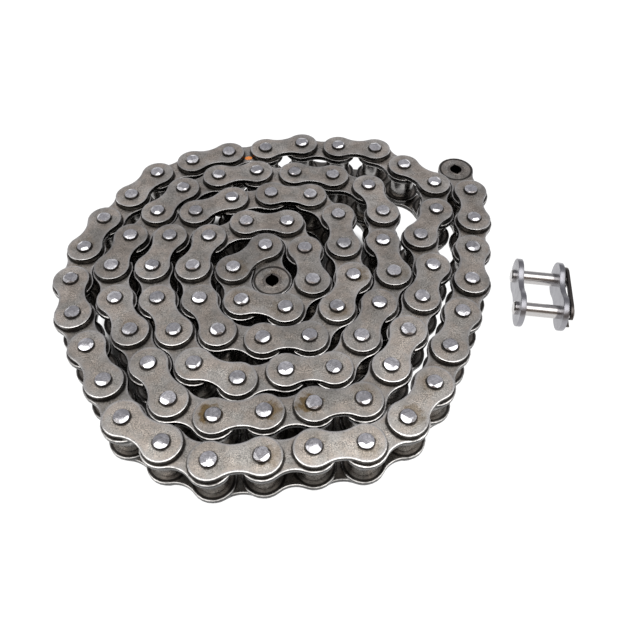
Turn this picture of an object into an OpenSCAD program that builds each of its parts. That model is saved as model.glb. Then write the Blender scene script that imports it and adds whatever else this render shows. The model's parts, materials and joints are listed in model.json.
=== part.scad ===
// Roller chain wound into a flat coil, with its connecting link lying loose beside it.
// Every pin stands upright, z = 0 is the surface that the chain lies on, and the origin is
// the middle of the whole part on that surface.
//
// Joint i is where link i - 1 hinges on link i. Even links are inner links, which carry the
// bushings and rollers, and odd links are outer links, which carry the pins.

/* [Chain] */
// Distance between neighbouring joints
pitch = 15.875; // [13:0.005:19.05]
// Number of links, odd so that both ends are inner links with an open bushing
link_count = 89; // [81:2:97]
// Thickness of every link plate
plate_t = 2.03; // [1.6:0.01:2.5]
// Gap left between the inner plates of two inner links in a straight chain
plate_end_gap = 1.175; // [0.9:0.005:1.5]
// Width of an inner plate at its waist
inner_waist = 10.3; // [8.5:0.1:12.4]
// Height of an outer plate over its round ends
outer_plate_h = 13; // [10.8:0.1:13.2]
// Width of an outer plate at its waist
outer_waist = 9; // [7.5:0.1:10.8]
// Clear width between the two plates of an inner link
inner_w = 9.53; // [7.9:0.01:11.5]

/* [Pins, bushings and rollers] */
// Diameter of a pin
pin_d = 5.08; // [4.2:0.01:6.1]
// How far a pin end stands out of its outer plate
pin_proud = 1.37; // [1.1:0.01:1.7]
// Bevel around the end of a pin
pin_bevel = 0.45; // [0.3:0.05:0.6]
// Wall of a bushing
bushing_wall = 0.935; // [0.75:0.005:1.15]
// How far a bushing stands out of its inner plates
bushing_proud = 0.1; // [0.05:0.01:0.15]
// Outer diameter of a roller
roller_d = 10.16; // [9:0.01:12]
// Bevel around the rim of a roller
roller_bevel = 0.4; // [0.2:0.05:0.6]

/* [Running clearances] */
// Radial clearance of a pin in its bushing
pin_play = 0.025; // [0.01:0.005:0.1]
// Radial clearance of a roller on its bushing
roller_play = 0.05; // [0.01:0.005:0.1]
// Clearance between each end of a bushing and the outer plate
side_play = 0.055; // [0.03:0.005:0.15]
// Clearance between each end of a roller and the inner plate
roller_end_play = 0.1; // [0.05:0.01:0.2]

/* [Coil] */
// Gap between the plates of neighbouring turns
turn_gap = 0.3; // [0.2:0.05:1]
// Gap between the round end of a plate and the waist that it nests in
nest_gap = 0.2; // [0.1:0.05:0.5]
// Direction of the innermost link
start_heading = 100; // [0:1:359]
// Links at the outer end that can swing away from the coil, odd
tail_links = 15; // [3:2:15]

/* [Connecting link] */
// Diameter of the clip grooves in its pins
groove_d = 4; // [3.4:0.05:4.8]
// Thickness of the spring clip
clip_t = 1.1; // [0.9:0.05:1.3]
// Width of the spring clip
clip_w = 10.6; // [9:0.1:12.4]
// Width of the opening in the middle of the spring clip
clip_eye = 6.2; // [5:0.1:7]
// Clearance on each side of the clip, in its grooves and around them
clip_play = 0.05; // [0.03:0.01:0.1]
// Height of the connecting link's plates
connecting_plate_h = 13.8; // [12.8:0.1:14.4]
// Height of the connecting link's plates at their waist
connecting_waist = 9.6; // [8:0.1:11]
// How far the cover plate can float under the clip when the link is in use
cover_float = 0.4; // [0.1:0.05:0.5]
// How much further in the cover plate lies while the link is loose
cover_slack = 0.6; // [0:0.1:1.5]
// Radial clearance of the cover plate on the pins
cover_play = 0.03; // [0.01:0.01:0.1]
// How far the pins stand out of the clip
clip_side_proud = 1.15; // [0.9:0.05:1.5]
// Distance from the coil to the connecting link
connecting_gap = 2.4; // [2:0.1:20]
// How far the connecting link lies behind the middle of the coil
connecting_y = -2; // [-10:0.5:10]
// Direction of the connecting link's pins
connecting_turn = -8.5; // [-20:0.5:20]

/* [Hidden] */
$fn = 64;

// Where the coil lies loose: [joint, degrees that it bends short of touching the turn inside it]
LOOSE = [
    [8, 15], [17, 20], [18, 10], [19, 10], [27, 10], [34, 10], [35, 25],
    [57, 25], [58, 50], [59, 20], [60, 35], [61, 15], [62, 15], [85, 15]
];
// Most that a joint could bend before its plates meet
MOST_BEND = 170;

// Across the chain
inner_plate_h = pitch - plate_end_gap;
bushing_len = inner_w + 2 * (plate_t + bushing_proud);
outer_gap = bushing_len + 2 * side_play;
pin_len = outer_gap + 2 * (plate_t + pin_proud);
mid_z = pin_len / 2;
bushing_bore = pin_d + 2 * pin_play;
bushing_d = bushing_bore + 2 * bushing_wall;
roller_bore = bushing_d + 2 * roller_play;
roller_len = inner_w - 2 * roller_end_play;

// Along the pins of the connecting link, measured from its middle
plate_x = outer_gap / 2;
cover_x = plate_x - cover_slack;
clip_x = plate_x + plate_t + cover_float;
groove_w = clip_t + 2 * clip_play;
rivet_end = pin_len / 2;
clip_end = clip_x - clip_play + groove_w + clip_side_proud;
clip_slot = groove_d + 2 * clip_play;

function heading(v) = atan2(v[1], v[0]);
function unit(a) = [cos(a), sin(a)];
// An angle brought into 0 to 360, and into -180 to 180
function full_turn(a) = a - 360 * floor(a / 360);
function half_turn(a) = full_turn(a + 180) - 180;

// Least distance between two joints that aren't on one link: round end to round end, or
// round end to the waist that it nests in
joint_reach = max(
    inner_plate_h + turn_gap,
    norm([pitch / 2, inner_plate_h / 2 + inner_waist / 2 + nest_gap])
);

// The headings that would bring the next joint too close to those already laid,
// each as [middle, half width]
function blocked(joints) =
    let (last = joints[len(joints) - 1])
    [
        for (i = [0 : 1 : len(joints) - 2])
            let (
                v = joints[i] - last,
                d = norm(v),
                c = (pitch * pitch + d * d - joint_reach * joint_reach) / (2 * pitch * d)
            )
            if (d < pitch + joint_reach && c < 1) [heading(v), acos(max(c, -1))]
    ];
function is_open(a, walls) =
    min([for (w = walls) abs(half_turn(a - w[0])) - w[1]]) > -0.0001;
// The heading nearest to the limit, turning right from it, that no earlier joint blocks
function nearest_open(joints, limit) =
    let (
        walls = blocked(joints),
        tries = concat([limit], [for (w = walls) limit - full_turn(limit - w[0] + w[1])])
    )
    max([for (a = tries) if (is_open(a, walls)) a]);
function looseness(joint) = max(concat([0], [for (one = LOOSE) if (one[0] == joint) one[1]]));
// Each link turns in until it touches the turn inside it, and then back by its looseness
function wind(joints) =
    len(joints) > link_count ? joints :
    let (
        n = len(joints) - 1,
        touching = nearest_open(joints, heading(joints[n] - joints[n - 1]) + MOST_BEND),
        laid = looseness(n) == 0 ? touching : nearest_open(joints, touching - looseness(n))
    )
    wind(concat(joints, [joints[n] + pitch * unit(laid)]));

WOUND = wind([[0, 0], pitch * unit(start_heading)]);
coil_low = [for (axis = [0, 1]) min([for (j = WOUND) j[axis]]) - inner_plate_h / 2];
coil_high = [for (axis = [0, 1]) max([for (j = WOUND) j[axis]]) + inner_plate_h / 2];

// The connecting link's reach to each side once it is turned
pin_swing = (pitch + pin_d) / 2 * abs(sin(connecting_turn));
connecting_left = rivet_end * cos(connecting_turn) + pin_swing;
connecting_right = clip_end * cos(connecting_turn) + pin_swing;
wound_connecting = [
    coil_high[0] + connecting_gap + connecting_left,
    (coil_low[1] + coil_high[1]) / 2 + connecting_y
];
ORIGIN = [
    (coil_low[0] + wound_connecting[0] + connecting_right) / 2,
    (coil_low[1] + coil_high[1]) / 2
];
JOINTS = [for (j = WOUND) j - ORIGIN];
connecting_at = wound_connecting - ORIGIN;

FIRST_TAIL = link_count - tail_links;
COIL_INNER = [0 : 2 : FIRST_TAIL - 2];
COIL_OUTER = [1 : 2 : FIRST_TAIL - 1];
TAIL_INNER = [1 : 2 : tail_links];
TAIL_OUTER = [2 : 2 : tail_links - 1];

function tail_name(n, piece) = str("tail_", n < 10 ? "0" : "", n, "_", piece);

// Places

module at_joint(i) {
    translate([JOINTS[i][0], JOINTS[i][1], mid_z]) children();
}

module on_link(i) {
    middle = (JOINTS[i] + JOINTS[i + 1]) / 2;
    translate([middle[0], middle[1], mid_z])
        rotate(heading(JOINTS[i + 1] - JOINTS[i]))
            children();
}

module at_ends() {
    for (side = [-1, 1]) translate([side * pitch / 2, 0]) children();
}

// The connecting link lies on the edges of its plates: x runs along its pins, y along its plates
module in_connecting_link() {
    translate([connecting_at[0], connecting_at[1], connecting_plate_h / 2])
        rotate(connecting_turn)
            children();
}

// Turns a flat outline into a plate of the connecting link that starts at x
module across_pins(x, thickness) {
    translate([x, 0, 0]) rotate([90, 0, 90]) linear_extrude(thickness) children();
}

module along_pins(y) {
    translate([0, y, 0]) rotate([0, 90, 0]) children();
}

// Shapes

// Two round ends joined by a waist whose sides are arcs tangent to the ends
module plate_outline(height, waist, hole_r) {
    end_r = height / 2;
    half_waist = waist / 2;
    waist_r = (pow(pitch / 2, 2) + pow(half_waist, 2) - pow(end_r, 2)) / (2 * (end_r - half_waist));
    waist_y = half_waist + waist_r;
    share = end_r / (end_r + waist_r);
    difference() {
        union() {
            at_ends() circle(r = end_r);
            difference() {
                square([pitch * (1 - share), 2 * waist_y * share], center = true);
                for (side = [-1, 1]) translate([0, side * waist_y]) circle(r = waist_r);
            }
        }
        at_ends() circle(r = hole_r);
    }
}

module ring(outer_r, inner_r, length, bevel) {
    rotate_extrude() polygon([
        [inner_r, -length / 2], [outer_r - bevel, -length / 2], [outer_r, bevel - length / 2],
        [outer_r, length / 2 - bevel], [outer_r - bevel, length / 2], [inner_r, length / 2]
    ]);
}

// Sub-parts

module inner_plate(side) {
    z = side > 0 ? inner_w / 2 : -inner_w / 2 - plate_t;
    color("#857d76")
        translate([0, 0, z])
            linear_extrude(plate_t)
                plate_outline(inner_plate_h, inner_waist, bushing_d / 2);
}

module outer_plate(side) {
    z = side > 0 ? outer_gap / 2 : -outer_gap / 2 - plate_t;
    color("#8b837c")
        translate([0, 0, z])
            linear_extrude(plate_t)
                plate_outline(outer_plate_h, outer_waist, pin_d / 2);
}

module pin() {
    r = pin_d / 2;
    color("#aaa6a8")
        rotate_extrude() polygon([
            [0, -pin_len / 2], [r - pin_bevel, -pin_len / 2], [r, pin_bevel - pin_len / 2],
            [r, pin_len / 2 - pin_bevel], [r - pin_bevel, pin_len / 2], [0, pin_len / 2]
        ]);
}

module bushing() {
    color("#5a5551")
        difference() {
            cylinder(d = bushing_d, h = bushing_len, center = true);
            cylinder(d = bushing_bore, h = bushing_len + 1, center = true);
        }
}

module roller() {
    color("#34302e") ring(roller_d / 2, roller_bore / 2, roller_len, roller_bevel);
}

// Riveted at one end, with a groove for the spring clip near the other
module connecting_pin() {
    r = pin_d / 2;
    groove_at = clip_x - clip_play;
    color("#c9c8ca")
        rotate_extrude() polygon([
            [0, -rivet_end], [r - pin_bevel, -rivet_end], [r, pin_bevel - rivet_end],
            [r, groove_at], [groove_d / 2, groove_at],
            [groove_d / 2, groove_at + groove_w], [r, groove_at + groove_w],
            [r, clip_end - pin_bevel], [r - pin_bevel, clip_end], [0, clip_end]
        ]);
}

module connecting_plate(x, hole_r) {
    color("#bfbec1")
        across_pins(x, plate_t) plate_outline(connecting_plate_h, connecting_waist, hole_r);
}

// A flat clip with one closed end. Its slot is a little wider than the pin grooves.
module spring_clip() {
    eye_len = pitch - clip_w / 2;
    color("#77736f")
        across_pins(clip_x, clip_t)
            difference() {
                union() {
                    at_ends() circle(d = clip_w);
                    square([pitch, clip_w], center = true);
                }
                translate([pitch / 2, 0]) circle(d = clip_slot);
                translate([-clip_w, -clip_slot / 2]) square([clip_w + pitch / 2, clip_slot]);
                translate([-pitch, -clip_slot / 2]) square([pitch, clip_slot]);
                square([eye_len - clip_eye, clip_eye], center = true);
                for (side = [-1, 1])
                    translate([side * (eye_len - clip_eye) / 2, 0]) circle(d = clip_eye);
            }
}

// Nodes

for (i = COIL_OUTER) on_link(i) outer_plate(1);  // coil_outer_plates_top
for (i = COIL_OUTER) on_link(i) outer_plate(-1);  // coil_outer_plates_bottom
for (i = COIL_INNER) on_link(i) inner_plate(1);  // coil_inner_plates_top
for (i = COIL_INNER) on_link(i) inner_plate(-1);  // coil_inner_plates_bottom
for (i = [1 : FIRST_TAIL]) at_joint(i) pin();  // coil_pins
for (i = [0 : FIRST_TAIL - 1]) at_joint(i) bushing();  // coil_bushings
for (i = [0 : FIRST_TAIL - 1]) at_joint(i) roller();  // coil_rollers

for (n = TAIL_INNER) {
    i = FIRST_TAIL + n - 1;
    on_link(i) {
        inner_plate(1);
        inner_plate(-1);
    }
    for (j = [i, i + 1]) at_joint(j) bushing();
    at_joint(i) roller();
    at_joint(i + 1) roller();
}
for (n = TAIL_OUTER) {
    i = FIRST_TAIL + n - 1;
    on_link(i) {
        outer_plate(1);
        outer_plate(-1);
    }
    for (j = [i, i + 1]) at_joint(j) pin();
}

in_connecting_link() connecting_plate(-plate_x - plate_t, pin_d / 2);  // connecting_pin_plate
in_connecting_link() along_pins(-pitch / 2) connecting_pin();  // connecting_pin_near
in_connecting_link() along_pins(pitch / 2) connecting_pin();  // connecting_pin_far
in_connecting_link() connecting_plate(cover_x, pin_d / 2 + cover_play);  // connecting_cover_plate
in_connecting_link() spring_clip();  // connecting_spring_clip
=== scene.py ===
"""A roller chain wound into a flat coil, with its connecting link lying loose beside it.

Every shape is modelled once, lying at the origin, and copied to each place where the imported
frame has it. Lengths are in metres.
"""

import json
import math
import random
from collections import namedtuple
from contextlib import contextmanager

import bmesh
import bpy
from bpy.props import FloatProperty, FloatVectorProperty, IntProperty, PointerProperty
from bpy.types import Operator, Panel, PropertyGroup
from mathutils import Matrix, Vector


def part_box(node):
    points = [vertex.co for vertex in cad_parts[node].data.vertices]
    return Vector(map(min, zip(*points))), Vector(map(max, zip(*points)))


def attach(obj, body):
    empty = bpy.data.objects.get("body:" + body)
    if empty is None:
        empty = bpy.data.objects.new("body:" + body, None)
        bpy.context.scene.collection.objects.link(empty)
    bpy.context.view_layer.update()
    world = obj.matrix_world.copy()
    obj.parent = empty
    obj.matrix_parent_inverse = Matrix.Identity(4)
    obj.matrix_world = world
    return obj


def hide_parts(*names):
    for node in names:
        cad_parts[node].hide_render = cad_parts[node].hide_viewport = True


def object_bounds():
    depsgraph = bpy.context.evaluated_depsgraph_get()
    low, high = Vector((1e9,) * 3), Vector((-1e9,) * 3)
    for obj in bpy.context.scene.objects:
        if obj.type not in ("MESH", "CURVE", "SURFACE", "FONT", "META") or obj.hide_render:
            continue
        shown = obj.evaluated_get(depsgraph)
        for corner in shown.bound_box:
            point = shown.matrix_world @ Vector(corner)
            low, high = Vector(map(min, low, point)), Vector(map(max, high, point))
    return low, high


bl_info = {
    "name": "Coiled Roller Chain",
    "version": (1, 0, 0),
    "blender": (4, 5, 0),
    "location": "View3D > Sidebar > Chain",
    "description": "Finishes a coiled roller chain and its loose connecting link",
    "category": "Object",
}

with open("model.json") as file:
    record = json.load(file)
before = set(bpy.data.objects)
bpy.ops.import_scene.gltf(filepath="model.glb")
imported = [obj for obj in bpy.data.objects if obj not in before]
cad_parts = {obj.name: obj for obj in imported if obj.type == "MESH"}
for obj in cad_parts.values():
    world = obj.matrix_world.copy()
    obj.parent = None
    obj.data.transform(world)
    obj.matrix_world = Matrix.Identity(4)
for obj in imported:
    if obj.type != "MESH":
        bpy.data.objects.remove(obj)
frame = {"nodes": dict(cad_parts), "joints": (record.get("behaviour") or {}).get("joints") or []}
cad_low, cad_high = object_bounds()

MM = 0.001
# Corners of the frame's triangles that are closer than this are one corner
WELD = 0.002 * MM
# How much wider a clip groove is than the clip, on each side
GROOVE_PLAY = 0.04 * MM

PLATE_UV = "plate_place"
RIM = "rim"
# Faces darkened as painted shade in the chain's hollows, with some oil
PAINTED_SHADE_AND_OIL = "painted_shade_and_oil"
TONE = "tone"
STAIN_AT_START = "stain_at_start"
STAIN_AT_END = "stain_at_end"
START_STAIN_PLACE = "start_stain_place"
END_STAIN_PLACE = "end_stain_place"

# Colour of a plate's rim, where use has rubbed it bare and a painted highlight lightens it
RUBBED_RIM_AND_HIGHLIGHT = (0.5, 0.485, 0.47)
# Near-black of oil and painted contact shade around what stands on a plate
CONTACT_SHADE_AND_OIL = (0.02, 0.017, 0.015)
# The range that most of a noise lies in
NOISE_LOW, NOISE_HIGH = 0.3, 0.7
# Two faces that meet at more than this make a sharp corner
SHARP = math.radians(60)
# A face whose normal is within these of level or upright is a wall or a flat
WALL_NORMAL, FLAT_NORMAL = 0.3, 0.99
CONNECTING_PIN_CHAMFER = 0.4 * MM

# Joints with dried oil beside them, counted from the inner end: its strength and its bearing
STAINED_JOINTS = {
    0: (0.3, 90),
    2: (0.35, 0),
    3: (0.3, 90),
    4: (0.4, 180),
    15: (0.5, 270),
    16: (0.7, 0),
    23: (0.25, 180),
    28: (0.2, 90),
    33: (0.35, 0),
    46: (0.25, 90),
    48: (0.2, 270),
    49: (1.0, 150),
    50: (0.8, 10),
    51: (1.0, 185),
    52: (0.3, 90),
    70: (0.3, 90),
    78: (0.45, 0),
    79: (0.2, 90),
    80: (0.35, 300),
    81: (0.55, 30),
    82: (0.4, 200),
}
# How far from its joint the middle of a stain lies
STAIN_REACH = 1.6 * MM
# The inner link that carries a dab of assembly paint, and how far the dab is off its middle
PAINTED_LINK = 64
PAINT_ASIDE = 2.6 * MM
SOFTBOX_PLACE = (0.0, -0.14, 0.64)
SOFTBOX_SIZE = (1.1, 0.52)
# Colours of the room, by degrees from the near horizon over the top to the far horizon
SKY = [
    (0, (0.90, 0.88, 0.86)),
    (11, (0.80, 0.76, 0.72)),
    (18, (0.20, 0.17, 0.15)),
    (40, (0.22, 0.18, 0.16)),
    (52, (0.50, 0.45, 0.41)),
    (100, (0.60, 0.60, 0.60)),
    (113, (0.42, 0.415, 0.43)),
    (160, (0.36, 0.36, 0.38)),
    (180, (0.80, 0.80, 0.80)),
]


# Reading the frame


def solids_of(node):
    """The corners of each separate solid in a CAD node."""
    mesh = bmesh.new()
    mesh.from_mesh(frame["nodes"][node].data)
    bmesh.ops.remove_doubles(mesh, verts=mesh.verts, dist=WELD)
    solids = []
    waiting = set(mesh.verts)
    while waiting:
        front = [waiting.pop()]
        corners = []
        while front:
            corner = front.pop()
            corners.append(corner.co.copy())
            for edge in corner.link_edges:
                other = edge.other_vert(corner)
                if other in waiting:
                    waiting.remove(other)
                    front.append(other)
        solids.append(corners)
    mesh.free()
    return solids


def middle_of(corners):
    return sum(corners, Vector((0, 0, 0))) / len(corners)


def long_way(corners):
    """The angle of a plate's long side."""
    middle = middle_of(corners)
    xx = sum((c.x - middle.x) ** 2 for c in corners)
    yy = sum((c.y - middle.y) ** 2 for c in corners)
    xy = sum((c.x - middle.x) * (c.y - middle.y) for c in corners)
    return math.atan2(2 * xy, xx - yy) / 2


def tail_joints():
    """The joints of the tail, from the one where it leaves the coil to the chain's outer end."""
    turning = [joint for joint in frame["joints"] if joint["type"] == "hinge"]
    places = {joint["name"]: Vector(joint["pos_m"]).xy for joint in turning}
    hinges = sorted(name for name in places if name.startswith("tail_hinge_"))
    last_roller = max(name for name in places if name.endswith("_roller_b_spin"))
    return [places[name] for name in hinges] + [places[last_roller]]


TAIL = tail_joints()
PITCH = (TAIL[1] - TAIL[0]).length


def plate_ends(corners):
    """The two joints that a plate lies on."""
    middle = middle_of(corners).xy
    along = Vector((PITCH / 2, 0))
    along.rotate(Matrix.Rotation(long_way(corners), 2))
    return middle - along, middle + along


def chain_joints():
    """Every joint, from the inner end of the chain to its outer end."""
    links = []
    for node in ("coil_outer_plates_top", "coil_inner_plates_top"):
        links.extend(plate_ends(corners) for corners in solids_of(node))
    inwards = [TAIL[0]]
    while links:
        here = inwards[-1]
        link = min(links, key=lambda ends: min((end - here).length for end in ends))
        links.remove(link)
        inwards.append(max(link, key=lambda end: (end - here).length))
    return inwards[::-1] + TAIL[1:]


JOINTS = chain_joints()
LINKS = len(JOINTS) - 1
COIL_MIDDLE = (sum(JOINTS, Vector((0, 0))) / len(JOINTS)).to_3d()
TAIL_LINKS = len(TAIL) - 1
FIRST_TAIL = LINKS - TAIL_LINKS

Plate = namedtuple("Plate", "height waist hole_r thickness")
Turned = namedtuple("Turned", "outer_r length middle_z")


def measure_plate(corners):
    """The sizes of a plate that lies flat."""
    middle = middle_of(corners)
    turn_back = Matrix.Rotation(-long_way(corners), 3, "Z")
    flat = [turn_back @ (corner - middle) for corner in corners]
    end = Vector((PITCH / 2, 0))
    return Plate(
        height=2 * max(abs(p.y) for p in flat),
        waist=2 * min(abs(p.y) for p in flat if abs(p.x) < PITCH / 4),
        hole_r=min((p.xy - end).length for p in flat),
        thickness=max(p.z for p in flat) - min(p.z for p in flat),
    )


def measure_turned(node):
    """The sizes of the upright round pieces in a CAD node."""
    corners = solids_of(node)[0]
    middle = middle_of(corners)
    low = min(c.z for c in corners)
    high = max(c.z for c in corners)
    outer_r = max((c - middle).xy.length for c in corners)
    return Turned(outer_r=outer_r, length=high - low, middle_z=(low + high) / 2)


def bore_of(node):
    corners = solids_of(node)[0]
    middle = middle_of(corners)
    return min((c - middle).xy.length for c in corners)


OUTER_PLATE = measure_plate(solids_of("tail_02_outer_plates")[0])
INNER_PLATE = measure_plate(solids_of("tail_01_inner_plates")[0])
PIN = measure_turned("tail_02_pins")
BUSHING = measure_turned("tail_01_bushings")
BUSHING_BORE_R = bore_of("tail_01_bushings")
ROLLER = measure_turned("tail_01_roller_a")
ROLLER_BORE_R = bore_of("tail_01_roller_a")
MID_Z = PIN.middle_z


def heading(link):
    way = JOINTS[link + 1] - JOINTS[link]
    return math.atan2(way.y, way.x)


def on_link(link, z):
    """The place of a plate that lies on a link, with z as its lowest face."""
    middle = (JOINTS[link] + JOINTS[link + 1]) / 2
    return Matrix.Translation((middle.x, middle.y, z)) @ Matrix.Rotation(heading(link), 4, "Z")


def at_joint(joint, turn=0.0):
    place = JOINTS[joint]
    return Matrix.Translation((place.x, place.y, MID_Z)) @ Matrix.Rotation(turn, 4, "Z")


def joint_axis(name):
    joint = next(j for j in frame["joints"] if j["name"] == name)
    return Vector(joint["axis"]).normalized()


def connecting_link_place():
    """The middle of the connecting link, with X along its pins, Y along its plates and Z up."""
    along_pins = joint_axis("cover_plate_float")
    up = Vector((0, 0, 1))
    along_plates = up.cross(along_pins)
    low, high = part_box("connecting_pin_plate")
    place = Matrix.Translation((low + high) / 2)
    turn = Matrix((along_pins, along_plates, up)).transposed().to_4x4()
    return place @ turn


CONNECTING = connecting_link_place()


def in_connecting_link(node):
    """The corners of a node of the connecting link, seen from the link's own middle."""
    back = CONNECTING.inverted()
    return [back @ vertex.co for vertex in frame["nodes"][node].data.vertices]


def reach_along_pins(node):
    """How far a node of the connecting link reaches each way along its pins."""
    across = [corner.x for corner in in_connecting_link(node)]
    return min(across), max(across)


def laid_flat(corners):
    """Corners of the connecting link turned so that its plates lie flat."""
    return [Vector((corner.y, corner.z, corner.x)) for corner in corners]


CONNECTING_PLATE = measure_plate(laid_flat(in_connecting_link("connecting_pin_plate")))


# Settings


def length_setting(name, description, default):
    return FloatProperty(name=name, description=description, default=default, unit="LENGTH")


def angle_setting(name, description, degrees):
    return FloatProperty(
        name=name, description=description, default=math.radians(degrees), subtype="ANGLE"
    )


def colour_setting(name, description, default):
    return FloatVectorProperty(
        name=name, description=description, default=default, subtype="COLOR", min=0, max=1
    )


class ChainSizes(PropertyGroup):
    """Roundings and facets that the pieces have beyond the frame's plain shapes."""

    rim: length_setting("Plate rim", "Rounding of the outer edge of each link plate", 0.24 * MM)
    burnish: length_setting(
        "Burnished band", "Width of the rubbed band inside the rim of each link plate", 0.14 * MM
    )
    pin_chamfer: length_setting(
        "Pin chamfer", "Width of the chamfer around each end of a pin", 0.42 * MM
    )
    facet_depth: length_setting(
        "Riveting facet depth",
        "How far down the side of a pin the facets left by riveting reach",
        0.48 * MM,
    )
    facet_tilt: angle_setting(
        "Riveting facet tilt", "How far the facets left by riveting lean outwards", 23
    )
    roller_rounding: length_setting("Roller edge", "Rounding of the edges of a roller", 0.5 * MM)
    clip_rounding: length_setting(
        "Clip edge", "Rounding of the edges of the spring clip", 0.15 * MM
    )
    end_steps: IntProperty(
        name="End steps",
        description="Straight steps in a quarter and a bit of a plate's round end",
        default=9,
        min=5,
    )
    waist_steps: IntProperty(
        name="Waist steps",
        description="Straight steps in half of one side of a plate's waist",
        default=4,
        min=2,
    )
    round_sides: IntProperty(
        name="Round sides",
        description="Sides of the pins, bushings and rollers",
        default=24,
        min=12,
    )


class ChainColours(PropertyGroup):
    """Colours of the chain's finishes."""

    outer_plate: colour_setting(
        "Outer plates", "Dull oiled steel of the outer link plates", (0.475, 0.443, 0.41)
    )
    inner_plate: colour_setting(
        "Inner plates", "Dull oiled steel of the inner link plates", (0.41, 0.385, 0.36)
    )
    dried_oil: colour_setting(
        "Dried oil", "Amber of the oil that dried around some pins", (0.24, 0.155, 0.055)
    )
    pin: colour_setting("Pins", "Bright ground steel of the pins", (0.70, 0.69, 0.72))
    bushing: colour_setting("Bushings", "Oiled steel of the bushings", (0.26, 0.235, 0.215))
    roller: colour_setting("Rollers", "Dark oiled steel of the rollers", (0.28, 0.272, 0.265))
    nickel: colour_setting(
        "Nickel", "Bright plating of the connecting link's plates", (0.31, 0.308, 0.332)
    )
    polished: colour_setting(
        "Polished pins", "Polished steel of the connecting link's pins", (0.52, 0.505, 0.50)
    )
    clip: colour_setting("Spring clip", "Dark spring steel of the clip", (0.10, 0.09, 0.085))
    paint: colour_setting("Paint dab", "Orange assembly paint", (0.85, 0.28, 0.06))


class ChainStage(PropertyGroup):
    """The camera, the light and the floor."""

    camera_place: FloatVectorProperty(
        name="Camera",
        description="Where the camera stands",
        default=(-0.0047, -0.1571, 0.2004),
        subtype="TRANSLATION",
        unit="LENGTH",
    )
    camera_dip: angle_setting("Dip", "How far below level the camera looks", 52.86)
    camera_turn: angle_setting("Turn", "How far left of straight ahead the camera looks", -1.22)
    camera_roll: angle_setting("Roll", "How far the camera leans to its left", 0.21)
    lens: FloatProperty(
        name="Lens",
        description="Focal length in millimetres on a 36 mm sensor",
        default=37.31,
    )
    floor: colour_setting(
        "Floor", "Colour that the floor would have without its glow", (0.1, 0.1, 0.1)
    )
    floor_glow: FloatProperty(
        name="Floor glow",
        description="Light that the floor gives off around the coil, as a lit table does",
        default=1.0,
    )
    sky: FloatProperty(
        name="Sky",
        description="Strength of the light from the room",
        default=1.0,
    )
    softbox_power: FloatProperty(
        name="Softbox",
        description="Power of the large softbox overhead, towards the near side",
        default=3.7,
        unit="POWER",
    )


# Modelling


@contextmanager
def editing(piece):
    """Edit mode on one piece, with nothing selected at first."""
    bpy.ops.object.select_all(action="DESELECT")
    piece.select_set(True)
    bpy.context.view_layer.objects.active = piece
    bpy.ops.object.mode_set(mode="EDIT")
    bpy.ops.mesh.select_mode(type="VERT")
    bpy.ops.mesh.select_all(action="DESELECT")
    yield
    bpy.ops.object.mode_set(mode="OBJECT")


def add_primitive(name, primitive, **at):
    bpy.ops.object.select_all(action="DESELECT")
    primitive(**at)
    piece = bpy.context.object
    piece.name = name
    bpy.ops.object.transform_apply(location=True, rotation=True, scale=True)
    return piece


def select_only(piece, kind, wanted):
    """Selects the edges or faces, as kind says, for which wanted(part) is true."""
    bpy.ops.mesh.select_mode(type=kind)
    bpy.ops.mesh.select_all(action="DESELECT")
    mesh = bmesh.from_edit_mesh(piece.data)
    for part in mesh.edges if kind == "EDGE" else mesh.faces:
        if wanted(part):
            part.select_set(True)
    bmesh.update_edit_mesh(piece.data)


def on_layer(edge, z):
    return all(abs(corner.co.z - z) < WELD for corner in edge.verts)


def is_fold(edge):
    """True where two faces meet at a sharp corner."""
    return len(edge.link_faces) == 2 and edge.calc_face_angle() > SHARP


def mark_selected(piece, attribute):
    """Sets an attribute to 1 at the selected corners, and leaves it 0 elsewhere."""
    mesh = bmesh.from_edit_mesh(piece.data)
    layer = mesh.verts.layers.float.new(attribute)
    for corner in mesh.verts:
        corner[layer] = 1.0 if corner.select else 0.0
    bmesh.update_edit_mesh(piece.data)


def apply_modifier(piece, kind, **settings):
    bpy.context.view_layer.objects.active = piece
    modifier = piece.modifiers.new(kind.title(), kind)
    for setting, value in settings.items():
        setattr(modifier, setting, value)
    bpy.ops.object.modifier_apply(modifier=modifier.name)


def outline_plate(plate, sizes):
    """A quarter of a plate's outline: the tip, the round end, the waist, and in to the middle."""
    half_pitch = PITCH / 2
    end_r = plate.height / 2
    half_waist = plate.waist / 2
    waist_r = (half_pitch**2 + half_waist**2 - end_r**2) / (2 * (end_r - half_waist))
    waist_y = half_waist + waist_r
    waist_sweep = math.atan2(half_pitch, waist_y)
    up = (0, 0, 1)
    bpy.ops.mesh.spin(
        steps=sizes.end_steps,
        angle=-(math.pi / 2 + waist_sweep),
        center=(half_pitch, 0, 0),
        axis=up,
    )
    bpy.ops.mesh.spin(
        steps=sizes.waist_steps, angle=waist_sweep, center=(0, waist_y, 0), axis=up
    )
    bpy.ops.mesh.extrude_region_move(TRANSFORM_OT_translate={"value": (0, -half_waist, 0)})


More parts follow.
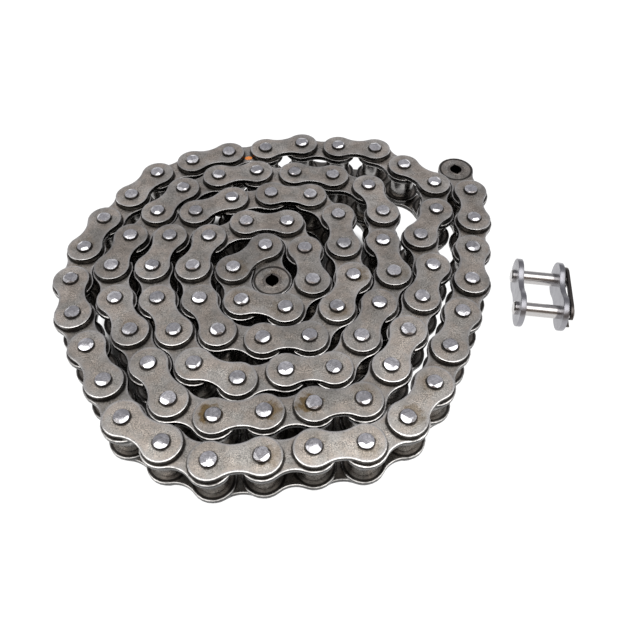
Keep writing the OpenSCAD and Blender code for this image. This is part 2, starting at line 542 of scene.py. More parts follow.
def model_plate(name, plate, sizes):
    """A link plate with its lower face on the floor and its long side along X."""
    half_pitch = PITCH / 2
    tip = half_pitch + plate.height / 2
    piece = add_primitive(
        name, bpy.ops.mesh.primitive_plane_add, size=plate.thickness, location=(tip, 0, 0)
    )
    with editing(piece):
        bpy.ops.mesh.select_all(action="SELECT")
        bpy.ops.mesh.merge(type="CENTER")
        outline_plate(plate, sizes)
    merge = {"use_mirror_merge": True, "merge_threshold": WELD}
    apply_modifier(piece, "MIRROR", use_axis=(False, True, False), **merge)
    around = len(piece.data.vertices)
    with editing(piece):
        bpy.ops.mesh.primitive_circle_add(
            vertices=around, radius=plate.hole_r, location=(half_pitch, 0, 0)
        )
        bpy.ops.mesh.select_all(action="SELECT")
        bpy.ops.mesh.bridge_edge_loops()
    apply_modifier(piece, "MIRROR", use_axis=(True, False, False), **merge)
    with editing(piece):
        bpy.ops.mesh.select_all(action="SELECT")
        bpy.ops.mesh.extrude_region_move(
            TRANSFORM_OT_translate={"value": (0, 0, plate.thickness)}
        )
        bpy.ops.mesh.select_all(action="SELECT")
        bpy.ops.mesh.normals_make_consistent(inside=False)
        select_only(piece, "EDGE", lambda edge: is_fold(edge) and not around_hole(edge, plate))
        bpy.ops.mesh.bevel(offset=sizes.rim, segments=2, affect="EDGES")
        mark_selected(piece, RIM)
        select_only(piece, "FACE", lambda face: abs(face.normal.z) > FLAT_NORMAL)
        bpy.ops.mesh.inset(thickness=sizes.burnish)
    # Walls and the lower face are darkened: painted shade, with some oil
    mark_painted_shade_and_oil(piece, below=0.5)
    lay_out_plate(piece)
    return piece


def mark_painted_shade_and_oil(piece, below=0.0):
    """Marks how much each face is darkened, as painted shade with some oil: 1 on a wall, and up to
    below on a face that looks down.
    """

    def amount(normal):
        return 1.0 if abs(normal.z) < WALL_NORMAL else max(0.0, -normal.z) * below

    mesh = piece.data
    attribute = mesh.attributes.new(PAINTED_SHADE_AND_OIL, "FLOAT", "FACE")
    attribute.data.foreach_set("value", [amount(face.normal) for face in mesh.polygons])


def around_hole(edge, plate):
    """True for an edge on the wall of one of a plate's two holes."""
    return all(
        abs(math.hypot(abs(corner.co.x) - PITCH / 2, corner.co.y) - plate.hole_r) < WELD
        for corner in edge.verts
    )


def lay_out_plate(piece):
    """Gives a plate a UV map that holds the place on the plate, counted in pitches."""
    mesh = piece.data
    for old in list(mesh.uv_layers):
        mesh.uv_layers.remove(old)
    layer = mesh.uv_layers.new(name=PLATE_UV)
    for loop in mesh.loops:
        corner = mesh.vertices[loop.vertex_index].co
        layer.data[loop.index].uv = (corner.x / PITCH, corner.y / PITCH)


def turn_shaft(name, profile, sides):
    """A shaft along Z, drawn out of a disc. The profile is a list of (z, radius)."""
    z, radius = profile[0]
    piece = add_primitive(
        name,
        bpy.ops.mesh.primitive_circle_add,
        vertices=sides,
        radius=radius,
        fill_type="NGON",
        location=(0, 0, z),
    )
    with editing(piece):
        bpy.ops.mesh.select_all(action="SELECT")
        for next_z, next_radius in profile[1:]:
            bpy.ops.mesh.extrude_region_move(
                TRANSFORM_OT_translate={"value": (0, 0, next_z - z)}
            )
            share = next_radius / radius
            bpy.ops.transform.resize(
                value=(share, share, 1), center_override=(0, 0, next_z)
            )
            z, radius = next_z, next_radius
        bpy.ops.mesh.select_all(action="SELECT")
        bpy.ops.mesh.normals_make_consistent(inside=False)
    return piece


def model_pin(name, sizes, facets, seed):
    """A pin along Z, centred on the origin, with facets that riveting left around both ends."""
    half = PIN.length / 2
    chamfer = sizes.pin_chamfer
    upper = [(half - chamfer, PIN.outer_r), (half, PIN.outer_r - chamfer)]
    lower = [(-z, radius) for z, radius in reversed(upper)]
    piece = turn_shaft(name, lower + upper, sizes.round_sides)
    draw = random.Random(seed)
    with editing(piece):
        for side in (-1, 1):
            for number in range(facets):
                way = math.tau * (number + draw.uniform(-0.2, 0.2)) / facets
                tilt = sizes.facet_tilt * draw.uniform(0.7, 1.3)
                depth = sizes.facet_depth * draw.uniform(0.7, 1.3)
                strike_facet(side, way, tilt, half - depth)
    # The pin's side is marked for painted shade, with some oil
    mark_painted_shade_and_oil(piece)
    return piece


def strike_facet(side, way, tilt, z):
    """Cuts one facet off the end of the pin that is being edited."""
    outwards = Vector((math.cos(way), math.sin(way), 0))
    bpy.ops.mesh.select_all(action="SELECT")
    bpy.ops.mesh.bisect(
        plane_co=outwards * PIN.outer_r + Vector((0, 0, side * z)),
        plane_no=outwards * math.sin(tilt) + Vector((0, 0, side * math.cos(tilt))),
        use_fill=True,
        clear_outer=True,
    )


def model_tube(name, outer_r, bore_r, length, rounding, sides):
    """A tube along Z, centred on the origin, with its outer edges rounded."""
    piece = add_primitive(
        name,
        bpy.ops.mesh.primitive_cylinder_add,
        vertices=sides,
        radius=outer_r,
        depth=length,
        end_fill_type="NOTHING",
    )
    with editing(piece):
        bpy.ops.mesh.primitive_cylinder_add(
            vertices=sides, radius=bore_r, depth=length, end_fill_type="NOTHING"
        )
        for z in (-length / 2, length / 2):
            select_only(piece, "EDGE", lambda edge: on_layer(edge, z))
            bpy.ops.mesh.bridge_edge_loops()
        bpy.ops.mesh.select_all(action="SELECT")
        bpy.ops.mesh.normals_make_consistent(inside=False)
        select_only(piece, "EDGE", lambda edge: is_fold(edge) and is_outside(edge, outer_r))
        bpy.ops.mesh.bevel(offset=rounding, segments=2, affect="EDGES")
        select_only(piece, "EDGE", lambda edge: is_fold(edge) and not is_outside(edge, outer_r))
        bpy.ops.mesh.bevel(offset=rounding / 3, segments=1, affect="EDGES")
    return piece


def is_outside(edge, radius):
    return all(abs(corner.co.xy.length - radius) < 10 * WELD for corner in edge.verts)


# Putting copies in place


Copy = namedtuple("Copy", "shape place marks")


def place_copies(name, copies):
    """One piece made of a copy of a shape at each place. Marks are attributes of a whole copy."""
    made = []
    for copy in copies:
        mesh = copy.shape.data.copy()
        mesh.transform(copy.place)
        for mark, value in copy.marks.items():
            if isinstance(value, Vector):
                kind, field, numbers = "FLOAT_VECTOR", "vector", list(value)
            else:
                kind, field, numbers = "FLOAT", "value", [value]
            attribute = mesh.attributes.new(mark, kind, "FACE")
            attribute.data.foreach_set(field, numbers * len(mesh.polygons))
        part = bpy.data.objects.new(name, mesh)
        bpy.context.scene.collection.objects.link(part)
        made.append(part)
    bpy.ops.object.select_all(action="DESELECT")
    for part in made:
        part.select_set(True)
    bpy.context.view_layer.objects.active = made[0]
    if len(made) > 1:
        bpy.ops.object.join()
    piece = bpy.context.view_layer.objects.active
    piece.name = name
    return piece


def finish_piece(piece, node, body, material, smooth_under=40):
    """Smooths a piece, gives it its finish, and lets it stand for its CAD node."""
    bpy.ops.object.select_all(action="DESELECT")
    piece.select_set(True)
    bpy.context.view_layer.objects.active = piece
    bpy.ops.object.shade_smooth_by_angle(angle=math.radians(smooth_under))
    piece.data.materials.clear()
    piece.data.materials.append(material)
    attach(piece, body)
    if node is not None:
        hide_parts(node)


def standing_at(joints, shape):
    """A copy of an upright shape at each joint, without marks."""
    return [Copy(shape, at_joint(joint), {}) for joint in joints]


def stand_in(node, copies, body, material, smooth_under=40):
    """Makes finished copies, as one piece, stand for a CAD node."""
    piece = place_copies(f"{node}_finished", copies)
    finish_piece(piece, node, body, material, smooth_under)


def discard(*shapes):
    for shape in shapes:
        bpy.data.objects.remove(shape)


def tail_name(number):
    return f"tail_{number:02d}"


def tail_body(number):
    return f"tail_link_{number:02d}"


def tail_link(number):
    """The link of the whole chain that has this number in the tail."""
    return FIRST_TAIL + number - 1


INNER_TAIL = range(1, TAIL_LINKS + 1, 2)
OUTER_TAIL = range(2, TAIL_LINKS, 2)
COIL_INNER = range(0, FIRST_TAIL, 2)
COIL_OUTER = range(1, FIRST_TAIL, 2)


def plate_copies(shape, links, level, thickness, draw, face_up):
    """Copies of a plate on the given links, each with its own tone and stains."""
    copies = []
    for link in links:
        place = on_link(link, level)
        if not face_up:
            place @= Matrix.Translation((0, 0, thickness)) @ Matrix.Rotation(math.pi, 4, "X")
        marks = {TONE: draw.random()}
        for joint, strength_mark, place_mark in (
            (link, STAIN_AT_START, START_STAIN_PLACE),
            (link + 1, STAIN_AT_END, END_STAIN_PLACE),
        ):
            strength, bearing = STAINED_JOINTS.get(joint, (0.0, 0))
            way = Vector((STAIN_REACH, 0))
            way.rotate(Matrix.Rotation(math.radians(bearing), 2))
            marks[strength_mark] = strength if face_up else 0.0
            marks[place_mark] = (JOINTS[joint] + way).to_3d()
        copies.append(Copy(shape, place, marks))
    return copies


# Finishes


class Nodes:
    """A node tree that is put together in code."""

    def __init__(self, tree):
        self.tree = tree

    def node(self, kind):
        return self.tree.nodes.new(f"ShaderNode{kind}")

    def put(self, socket, value):
        if isinstance(value, bpy.types.NodeSocket):
            self.tree.links.new(value, socket)
        else:
            socket.default_value = value

    def math(self, operation, first, second=0.0, clamp=False):
        node = self.node("Math")
        node.operation = operation
        node.use_clamp = clamp
        self.put(node.inputs[0], first)
        self.put(node.inputs[1], second)
        return node.outputs[0]


class Recipe(Nodes):
    """A material that is put together from nodes."""

    def __init__(self, name):
        self.material = bpy.data.materials.new(name)
        self.material.use_nodes = True
        super().__init__(self.material.node_tree)
        self.shader = self.tree.nodes["Principled BSDF"]
        place = self.node("TexCoord").outputs["Object"]
        # Object coordinates in millimetres
        self.place = self.vector("SCALE", place, scale=1 / MM)

    def product(self, first, *others):
        """Multiplies numbers together."""
        for other in others:
            first = self.math("MULTIPLY", first, other)
        return first

    def vector(self, operation, first, second=None, scale=None):
        node = self.node("VectorMath")
        node.operation = operation
        self.put(node.inputs[0], first)
        if second is not None:
            self.put(node.inputs[1], second)
        if scale is not None:
            self.put(node.inputs["Scale"], scale)
        return node.outputs["Value" if operation == "DISTANCE" else "Vector"]

    def noise(self, size, detail=2.0, stretch=None, roughness=0.5):
        """Noise whose blotches are about size millimetres across."""
        node = self.node("TexNoise")
        place = self.place
        if stretch is not None:
            place = self.vector("MULTIPLY", place, stretch)
        self.put(node.inputs["Vector"], place)
        node.inputs["Scale"].default_value = 1 / size
        node.inputs["Detail"].default_value = detail
        node.inputs["Roughness"].default_value = roughness
        return node.outputs["Fac"]

    def spread(self, value, low, high, to_low=0.0, to_high=1.0):
        """Eases a value from one range to another, and holds it inside."""
        node = self.node("MapRange")
        node.interpolation_type = "SMOOTHSTEP"
        self.put(node.inputs["Value"], value)
        limits = {"From Min": low, "From Max": high, "To Min": to_low, "To Max": to_high}
        for limit, at in limits.items():
            node.inputs[limit].default_value = at
        return node.outputs["Result"]

    def vary(self, noise, least, most):
        """Turns a noise into values from least to most."""
        return self.spread(noise, NOISE_LOW, NOISE_HIGH, least, most)

    def mark(self, name, kind="Fac"):
        node = self.node("Attribute")
        node.attribute_name = name
        return node.outputs[kind]

    def mix(self, share, first, second):
        node = self.node("Mix")
        node.data_type = "RGBA"
        self.put(node.inputs["Factor"], share)
        self.put(node.inputs["A"], rgba(first))
        self.put(node.inputs["B"], rgba(second))
        return node.outputs["Result"]

    def brighten(self, colour, amount):
        """Multiplies a colour by a number, or by a number for each of its three parts."""
        if isinstance(amount, tuple):
            return self.vector("MULTIPLY", colour, amount)
        return self.vector("SCALE", colour, scale=amount)

    def bump(self, height, distance):
        node = self.node("Bump")
        node.inputs["Distance"].default_value = distance
        self.put(node.inputs["Height"], height)
        self.put(self.shader.inputs["Normal"], node.outputs["Normal"])

    def finish(self, colour, roughness, metallic=1.0):
        self.put(self.shader.inputs["Base Color"], colour)
        self.put(self.shader.inputs["Roughness"], roughness)
        self.put(self.shader.inputs["Metallic"], metallic)
        return self.material


def rgba(value):
    """A colour setting as four numbers. A socket is passed through."""
    if isinstance(value, bpy.types.NodeSocket):
        return value
    return (*value, 1.0)


def oiled_plate_steel(name, colour, dried_oil, stands_r):
    """Dull tumbled steel with a fine grain, a rubbed rim that a painted highlight also lightens,
    and a dark ring of oil and painted contact shade around what stands on it.
    """
    steel = Recipe(name)
    contact_shade_from = stands_r / MM
    blotches = steel.noise(3.5, detail=4, roughness=0.6)
    clouds = steel.noise(25, detail=2)
    grain = steel.noise(0.42, detail=2, roughness=0.7)
    pits = steel.noise(0.8, detail=3, roughness=0.65)
    tone = steel.mark(TONE)
    rim = steel.mark(RIM)
    painted_shade_and_oil = steel.mark(PAINTED_SHADE_AND_OIL)

    uv = steel.node("UVMap")
    uv.uv_map = PLATE_UV
    on_plate = steel.vector("SCALE", uv.outputs["UV"], scale=PITCH / MM)
    half_pitch = PITCH / 2 / MM
    from_start = steel.vector("DISTANCE", on_plate, (-half_pitch, 0, 0))
    from_end = steel.vector("DISTANCE", on_plate, (half_pitch, 0, 0))
    ragged = steel.math("MULTIPLY", steel.math("SUBTRACT", steel.noise(2.4, 3), 0.5), 7.0)

    face = steel.math("SUBTRACT", 1.0, rim)
    speckle = steel.math("SUBTRACT", steel.spread(grain, 0.28, 0.72, 0.35, 1.75), 1.0)
    speckle = steel.math("ADD", steel.math("MULTIPLY", speckle, face), 1.0)
    shade = steel.product(
        steel.vary(blotches, 0.72, 1.2),
        steel.vary(clouds, 0.82, 1.15),
        speckle,
        steel.spread(tone, 0, 1, 0.84, 1.12),
        steel.spread(pits, 0.3, 0.45, 0.6, 1.0),
        # The rim is lightened: rubbed bare by use, and a painted highlight
        steel.spread(rim, 0, 1, 1.0, 1.35),
        # Walls and faces that look into the chain are darkened: painted shade, with some oil
        steel.spread(painted_shade_and_oil, 0, 1, 1.0, 0.07),
    )
    warm = steel.brighten(tuple(colour), (1.04, 0.99, 0.94))
    cool = steel.brighten(tuple(colour), (0.98, 1.0, 1.0))
    tint = steel.mix(steel.spread(steel.noise(5.5, 3), 0.35, 0.65), warm, cool)
    # The rim takes the colour of bare steel with a painted highlight
    tint = steel.mix(steel.spread(rim, 0.8, 1.0), tint, RUBBED_RIM_AND_HIGHLIGHT)
    body = steel.brighten(tint, shade)

    amber = 0.0
    on_floor = steel.vector("MULTIPLY", steel.place, (1, 1, 0))
    for place, strength in ((START_STAIN_PLACE, STAIN_AT_START), (END_STAIN_PLACE, STAIN_AT_END)):
        middle = steel.vector("SCALE", steel.mark(place, "Vector"), scale=1 / MM)
        near = steel.math("ADD", steel.vector("DISTANCE", on_floor, middle), ragged)
        patch = steel.product(steel.spread(near, 2.2, 4.6, 1.0, 0.0), steel.mark(strength))
        amber = steel.math("MAXIMUM", amber, patch)
    amber = steel.math("MULTIPLY", amber, 0.85, clamp=True)
    body = steel.mix(amber, body, dried_oil)

    # A dark ring where something stands on the plate: oil, and painted contact shade
    nearest = steel.math("MINIMUM", from_start, from_end)
    contact_shade_and_oil = steel.spread(
        steel.math("ADD", nearest, steel.math("MULTIPLY", ragged, 0.15)),
        contact_shade_from + 0.25,
        contact_shade_from + 0.75,
        1.0,
        0.0,
    )
    contact_shade_and_oil = steel.math("MULTIPLY", contact_shade_and_oil, steel.spread(nearest, contact_shade_from - 0.6, contact_shade_from - 0.2))
    body = steel.mix(steel.math("MULTIPLY", contact_shade_and_oil, 0.88), body, CONTACT_SHADE_AND_OIL)

    rough = steel.vary(blotches, 0.46, 0.36)
    rough = steel.math("SUBTRACT", rough, steel.math("MULTIPLY", rim, 0.14))
    rough = steel.math("SUBTRACT", rough, steel.math("MULTIPLY", amber, 0.1))
    dents = steel.math("MULTIPLY", steel.math("ADD", grain, pits), face)
    steel.bump(dents, 0.05 * MM)
    return steel.finish(body, rough)


def ground_pin_steel(name, colour):
    """Bright ground steel with fine marks from the riveting tool."""
    steel = Recipe(name)
    marks = steel.noise(1.1, detail=2, roughness=0.5)
    scratches = steel.noise(0.9, detail=2, stretch=(1.0, 6.0, 1.0))
    shade = steel.product(
        steel.vary(marks, 0.86, 1.12),
        steel.vary(scratches, 0.8, 1.2),
        steel.spread(steel.mark(TONE), 0, 1, 0.8, 1.15),
        # The pin's side is darkened: painted shade, with some oil
        steel.spread(steel.mark(PAINTED_SHADE_AND_OIL), 0, 1, 1.0, 0.2),
    )
    body = steel.brighten(tuple(colour), shade)
    rough = steel.vary(scratches, 0.15, 0.26)
    steel.bump(marks, 0.02 * MM)
    return steel.finish(body, rough)


def dark_oiled_steel(name, colour, dull, bright):
    """Dark steel under a film of oil, for the rollers and bushings."""
    steel = Recipe(name)
    film = steel.noise(2.2, detail=3)
    wear = steel.noise(0.6, detail=2, stretch=(1.0, 1.0, 4.0))
    shade = steel.product(steel.vary(film, 0.8, 1.2), steel.vary(wear, 0.85, 1.15))
    body = steel.brighten(tuple(colour), shade)
    steel.bump(wear, 0.01 * MM)
    return steel.finish(body, steel.vary(film, dull, bright))


def plated_steel(name, colour, roughness, grain_size):
    """Bright plating with a faint satin grain."""
    steel = Recipe(name)
    grain = steel.noise(grain_size, detail=3, roughness=0.6)
    haze = steel.noise(3.0, detail=2)
    body = steel.brighten(tuple(colour), steel.vary(grain, 0.93, 1.05))
    rough = steel.vary(haze, roughness - 0.04, roughness + 0.05)
    steel.bump(grain, 0.008 * MM)
    return steel.finish(body, rough)


def assembly_paint(name, colour):
    paint = Recipe(name)
    brushed = paint.noise(0.6, detail=3)
    body = paint.brighten(tuple(colour), paint.vary(brushed, 0.85, 1.1))
    paint.bump(brushed, 0.03 * MM)
    return paint.finish(body, 0.38, metallic=0.0)


# Operators


class CHAIN_OT_stage(Operator):
    """Sets up the camera, the floor and the light"""

    bl_idname = "roller_chain.stage"
    bl_label = "Stage"

    def execute(self, context):
        settings = context.scene.chain_stage
        self.add_camera(context, settings)
        self.add_floor(settings)
        self.add_sky(context, settings)
        self.add_softbox(settings.softbox_power)
        context.scene.view_settings.view_transform = "Standard"
        return {"FINISHED"}

    def add_camera(self, context, settings):
        bpy.ops.object.camera_add(location=settings.camera_place)
        camera = context.object
        camera.name = "camera"
        camera.data.sensor_width = 36
        camera.data.lens = settings.lens
        camera.data.clip_start = 0.01
        turn = Matrix.Rotation(settings.camera_turn, 3, "Z")
        tilt = Matrix.Rotation(math.pi / 2 - settings.camera_dip, 3, "X")
        roll = Matrix.Rotation(settings.camera_roll, 3, "Z")
        camera.rotation_euler = (turn @ tilt @ roll).to_euler()
        context.scene.camera = camera

    def add_floor(self, settings):
        floor = add_primitive("floor", bpy.ops.mesh.primitive_plane_add, size=8)
        paint = Recipe("floor_with_painted_shadow")
        paint.finish(rgba(settings.floor), 0.9, metallic=0.0)
        # Under the coil the floor gives off no light, a painted shadow that keeps the coil's gaps
        # dark; around it the floor glows
        coil_r = cad_high.y / MM
        painted_shadow_middle = COIL_MIDDLE / MM - Vector((0.1 * coil_r, 0.1 * coil_r, 0))
        from_painted_shadow = paint.vector("DISTANCE", paint.place, painted_shadow_middle)
        painted_shadow_r, lit_r = 0.68 * coil_r, 0.76 * coil_r
        glow = paint.spread(from_painted_shadow, painted_shadow_r, lit_r, 0.0, settings.floor_glow)
        paint.put(paint.shader.inputs["Emission Color"], (1.0, 1.0, 1.0, 1.0))
        paint.put(paint.shader.inputs["Emission Strength"], glow)
        floor.data.materials.append(paint.material)

    def add_sky(self, context, settings):
        """A room whose light changes from the near horizon over the top to the far horizon."""
        sky = bpy.data.worlds.new("studio")
        context.scene.world = sky
        sky.use_nodes = True
        room = Nodes(sky.node_tree)
        split = room.node("SeparateXYZ")
        room.put(split.inputs[0], room.node("TexCoord").outputs["Generated"])
        towards_camera = room.math("MULTIPLY", split.outputs["Y"], -1)
        angle = room.math("ARCTAN2", split.outputs["Z"], towards_camera)
        ramp = room.node("ValToRGB")
        room.put(ramp.inputs["Fac"], room.math("DIVIDE", angle, math.pi))
        stops = ramp.color_ramp.elements
        while len(stops) < len(SKY):
            stops.new(0.5)
        for stop, (degrees, colour) in zip(stops, SKY):
            stop.position = degrees / 180
            stop.color = rgba(colour)
        background = room.tree.nodes["Background"]
        background.inputs["Strength"].default_value = settings.sky
        room.put(background.inputs["Color"], ramp.outputs["Color"])

    def add_softbox(self, power):
        """A rectangular light that faces the chain."""
        bpy.ops.object.light_add(type="AREA", location=SOFTBOX_PLACE)
        light = bpy.context.object
        light.name = "softbox"
        light.data.shape = "RECTANGLE"
        light.data.size, light.data.size_y = SOFTBOX_SIZE
        light.data.energy = power
        light.rotation_euler = (-Vector(SOFTBOX_PLACE)).to_track_quat("-Z", "Y").to_euler()


class CHAIN_OT_outer_plates(Operator):
    """Makes the outer link plates, which the pins are riveted into"""

    bl_idname = "roller_chain.outer_plates"
    bl_label = "Outer plates"

    def execute(self, context):
        colours = context.scene.chain_colours
        shape = model_plate("outer_plate_shape", OUTER_PLATE, context.scene.chain_sizes)
        steel = oiled_plate_steel(
            "outer_plate_steel", colours.outer_plate, colours.dried_oil, OUTER_PLATE.hole_r
        )
        make_plates("outer", shape, OUTER_PLATE, COIL_OUTER, OUTER_TAIL, steel, random.Random(3))
        discard(shape)
        return {"FINISHED"}


class CHAIN_OT_inner_plates(Operator):
    """Makes the inner link plates, which the bushings are pressed into"""

    bl_idname = "roller_chain.inner_plates"
    bl_label = "Inner plates"

    def execute(self, context):
        colours = context.scene.chain_colours
        shape = model_plate("inner_plate_shape", INNER_PLATE, context.scene.chain_sizes)
        steel = oiled_plate_steel(
            # On an inner plate the dark ring follows the outer plate's edge: painted contact shade
            # with oil
            "inner_plate_steel", colours.inner_plate, colours.dried_oil, OUTER_PLATE.height / 2
        )
        make_plates("inner", shape, INNER_PLATE, COIL_INNER, INNER_TAIL, steel, random.Random(5))
        discard(shape)
        return {"FINISHED"}


def make_plates(kind, shape, plate, coil_links, tail_numbers, steel, draw):
    """Places one kind of plate: two pieces in the coil, and one piece in each tail link."""
    levels = {}
    for side in ("top", "bottom"):
        node = f"coil_{kind}_plates_{side}"
        levels[side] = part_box(node)[0].z
        copies = plate_copies(
            shape, coil_links, levels[side], plate.thickness, draw, side == "top"
        )
        stand_in(node, copies, "coil", steel)
    for number in tail_numbers:
        node = f"{tail_name(number)}_{kind}_plates"
        copies = []
        for side, level in levels.items():
            link = [tail_link(number)]
            copies += plate_copies(shape, link, level, plate.thickness, draw, side == "top")
        stand_in(node, copies, tail_body(number), steel)


class CHAIN_OT_pins(Operator):
    """Makes the pins, whose ends carry facets from riveting"""

    bl_idname = "roller_chain.pins"
    bl_label = "Pins"

    def execute(self, context):
        sizes = context.scene.chain_sizes
        steel = ground_pin_steel("pin_steel", context.scene.chain_colours.pin)
        shapes = [
            model_pin(f"pin_with_{facets}_facets", sizes, facets, seed)
            for seed, facets in enumerate((3, 4, 5, 6), 1)
        ]
        draw = random.Random(11)

        def copies(joints):
            made = []
            for joint in joints:
                shape = draw.choice(shapes)
                place = at_joint(joint, draw.uniform(0, math.tau))
                made.append(Copy(shape, place, {TONE: draw.random()}))
            return made

        joints = range(1, FIRST_TAIL + 1)
        stand_in("coil_pins", copies(joints), "coil", steel, smooth_under=20)
        for number in OUTER_TAIL:
            node = f"{tail_name(number)}_pins"
            link = tail_link(number)
            pair = copies([link, link + 1])
            stand_in(node, pair, tail_body(number), steel, smooth_under=20)
        discard(*shapes)
        return {"FINISHED"}


class CHAIN_OT_bushings(Operator):
    """Makes the bushings, which turn on the pins"""

    bl_idname = "roller_chain.bushings"
    bl_label = "Bushings"

    def execute(self, context):
        sizes = context.scene.chain_sizes
        steel = dark_oiled_steel("bushing_steel", context.scene.chain_colours.bushing, 0.4, 0.25)
        shape = model_tube(
            "bushing_shape",
            BUSHING.outer_r,
            BUSHING_BORE_R,
            BUSHING.length,
            sizes.roller_rounding / 2,
            sizes.round_sides,
        )
        stand_in(
            "coil_bushings", standing_at(range(FIRST_TAIL), shape), "coil", steel
        )
        for number in INNER_TAIL:
            node = f"{tail_name(number)}_bushings"
            link = tail_link(number)
            pair = standing_at((link, link + 1), shape)
            stand_in(node, pair, tail_body(number), steel)
        discard(shape)
        return {"FINISHED"}


class CHAIN_OT_rollers(Operator):
    """Makes the rollers, which turn on the bushings"""

    bl_idname = "roller_chain.rollers"
    bl_label = "Rollers"

    def execute(self, context):
        sizes = context.scene.chain_sizes
        steel = dark_oiled_steel("roller_steel", context.scene.chain_colours.roller, 0.34, 0.2)
        shape = model_tube(
            "roller_shape",
            ROLLER.outer_r,
            ROLLER_BORE_R,
            ROLLER.length,
            sizes.roller_rounding,
            sizes.round_sides,
        )
        stand_in("coil_rollers", standing_at(range(FIRST_TAIL), shape), "coil", steel)
        for number in INNER_TAIL:
            for step, end in enumerate(("a", "b")):
                node = f"{tail_name(number)}_roller_{end}"
                joint = tail_link(number) + step
                stand_in(node, standing_at([joint], shape), node, steel)
        discard(shape)
        return {"FINISHED"}


class CHAIN_OT_connecting_plates(Operator):
    """Makes the two bright plates of the connecting link"""

    bl_idname = "roller_chain.connecting_plates"
    bl_label = "Connecting plates"

    def execute(self, context):
        sizes = context.scene.chain_sizes
        nickel = plated_steel("nickel_plating", context.scene.chain_colours.nickel, 0.32, 0.4)
        shape = model_plate("connecting_plate_shape", CONNECTING_PLATE, sizes)
        # The plate's length turns to Y, its width to Z and its thickness to X
        stand_up = Matrix(((0, 0, 1, 0), (1, 0, 0, 0), (0, 1, 0, 0), (0, 0, 0, 1)))
        for node, body in (
            ("connecting_pin_plate", "connecting_link"),
            ("connecting_cover_plate", "connecting_cover_plate"),
        ):
            start = reach_along_pins(node)[0]
            place = CONNECTING @ Matrix.Translation((start, 0, 0)) @ stand_up
            stand_in(node, [Copy(shape, place, {})], body, nickel)
        discard(shape)
        return {"FINISHED"}


class CHAIN_OT_connecting_pins(Operator):
    """Makes the two polished pins of the connecting link, with their clip grooves"""

    bl_idname = "roller_chain.connecting_pins"
    bl_label = "Connecting pins"

    def execute(self, context):
        sizes = context.scene.chain_sizes
        colour = context.scene.chain_colours.polished
        polished = plated_steel("polished_pin_steel", colour, 0.18, 0.5)
        for node, side in (("connecting_pin_near", -1), ("connecting_pin_far", 1)):
            start, end = reach_along_pins(node)
            shape = turn_shaft(f"{node}_shape", self.profile(start, end, sizes), 32)
            lie_down = Matrix.Rotation(math.pi / 2, 4, "Y")
            place = CONNECTING @ Matrix.Translation((0, side * PITCH / 2, 0)) @ lie_down
            copies = [Copy(shape, place, {})]
            stand_in(node, copies, "connecting_link", polished, smooth_under=35)
            discard(shape)
        return {"FINISHED"}

    def profile(self, start, end, sizes):
        """Chamfered ends, and the clip groove where the frame's clip sits."""
        radius = PIN.outer_r
        chamfer = CONNECTING_PIN_CHAMFER
        clip_start, clip_end = reach_along_pins("connecting_spring_clip")
        groove_r = smallest_radius_near(clip_start, clip_end)
        return [
            (start, radius - chamfer),
            (start + chamfer, radius),
            (clip_start - GROOVE_PLAY, radius),
            (clip_start - GROOVE_PLAY, groove_r),
            (clip_end + GROOVE_PLAY, groove_r),
            (clip_end + GROOVE_PLAY, radius),
            (end - chamfer, radius),
            (end, radius - chamfer),
        ]


def smallest_radius_near(start, end):
    """The radius of the near pin's groove, between two places along the pins."""
    return min(
        math.hypot(corner.y + PITCH / 2, corner.z)
        for corner in in_connecting_link("connecting_pin_near")
        if start - 0.2 * MM < corner.x < end + 0.2 * MM
    )


class CHAIN_OT_spring_clip(Operator):
    """Makes the spring clip that holds the cover plate on"""

    bl_idname = "roller_chain.spring_clip"
    bl_label = "Spring clip"

    def execute(self, context):
        sizes = context.scene.chain_sizes
        steel = dark_oiled_steel("spring_clip_steel", context.scene.chain_colours.clip, 0.36, 0.26)
        node = "connecting_spring_clip"
        piece = self.copy_merged(node)
        apply_modifier(
            piece, "BEVEL", width=sizes.clip_rounding, segments=2, limit_method="ANGLE"
        )
        finish_piece(piece, node, node, steel)
        return {"FINISHED"}

    def copy_merged(self, node):
        """A copy of a CAD node with its triangles joined into whole faces."""
        piece = bpy.data.objects.new(f"{node}_finished", frame["nodes"][node].data.copy())
        bpy.context.scene.collection.objects.link(piece)
        with editing(piece):
            bpy.ops.mesh.select_all(action="SELECT")
            bpy.ops.mesh.remove_doubles(threshold=WELD)
            bpy.ops.mesh.dissolve_limited(angle_limit=math.radians(1))
        return piece


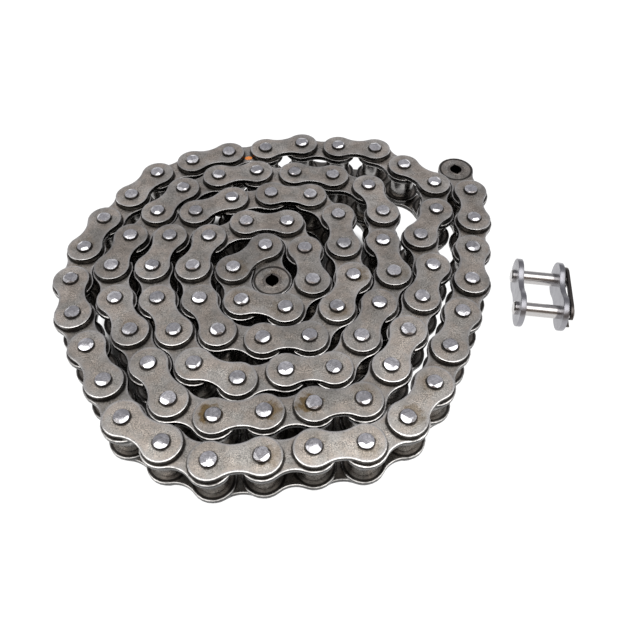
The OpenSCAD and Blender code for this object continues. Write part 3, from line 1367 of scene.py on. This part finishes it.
class CHAIN_OT_paint_dab(Operator):
    """Makes the dab of assembly paint on one inner plate"""

    bl_idname = "roller_chain.paint_dab"
    bl_label = "Paint dab"

    def execute(self, context):
        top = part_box("coil_inner_plates_top")[1].z
        paint = assembly_paint("assembly_paint", context.scene.chain_colours.paint)
        place = on_link(PAINTED_LINK, top) @ Matrix.Translation((0, PAINT_ASIDE, 0))
        piece = add_primitive(
            "paint_dab",
            bpy.ops.mesh.primitive_ico_sphere_add,
            subdivisions=3,
            radius=1.0 * MM,
        )
        draw = random.Random(7)
        with editing(piece):
            bpy.ops.mesh.select_all(action="SELECT")
            bpy.ops.transform.resize(value=(1.7, 1.15, 0.28))
            bpy.ops.transform.vertex_random(offset=0.08 * MM, seed=draw.randrange(100))
            bpy.ops.mesh.vertices_smooth(factor=0.5)
        piece.data.transform(place)
        finish_piece(piece, None, "coil", paint, smooth_under=180)
        return {"FINISHED"}


class CHAIN_PT_build(Panel):
    """Lists the pieces of the chain and their settings"""

    bl_label = "Roller chain"
    bl_idname = "CHAIN_PT_build"
    bl_space_type = "VIEW_3D"
    bl_region_type = "UI"
    bl_category = "Chain"

    def draw(self, context):
        layout = self.layout
        for step in STEPS:
            layout.operator(step.bl_idname)
        scene = context.scene
        for settings in (scene.chain_sizes, scene.chain_colours, scene.chain_stage):
            box = layout.box()
            for name in settings.__annotations__:
                box.prop(settings, name)


GROUPS = (ChainSizes, ChainColours, ChainStage)
STEPS = (
    CHAIN_OT_stage,
    CHAIN_OT_outer_plates,
    CHAIN_OT_inner_plates,
    CHAIN_OT_pins,
    CHAIN_OT_bushings,
    CHAIN_OT_rollers,
    CHAIN_OT_connecting_plates,
    CHAIN_OT_connecting_pins,
    CHAIN_OT_spring_clip,
    CHAIN_OT_paint_dab,
)


def register():
    for group in (*GROUPS, *STEPS, CHAIN_PT_build):
        bpy.utils.register_class(group)
    bpy.types.Scene.chain_sizes = PointerProperty(type=ChainSizes)
    bpy.types.Scene.chain_colours = PointerProperty(type=ChainColours)
    bpy.types.Scene.chain_stage = PointerProperty(type=ChainStage)


def unregister():
    del bpy.types.Scene.chain_stage
    del bpy.types.Scene.chain_colours
    del bpy.types.Scene.chain_sizes
    for group in (CHAIN_PT_build, *reversed(STEPS), *reversed(GROUPS)):
        bpy.utils.unregister_class(group)


def main():
    register()
    bpy.ops.roller_chain.stage()
    bpy.ops.roller_chain.outer_plates()
    bpy.ops.roller_chain.inner_plates()
    bpy.ops.roller_chain.pins()
    bpy.ops.roller_chain.bushings()
    bpy.ops.roller_chain.rollers()
    bpy.ops.roller_chain.connecting_plates()
    bpy.ops.roller_chain.connecting_pins()
    bpy.ops.roller_chain.spring_clip()
    bpy.ops.roller_chain.paint_dab()


if __name__ == "__main__":
    main()
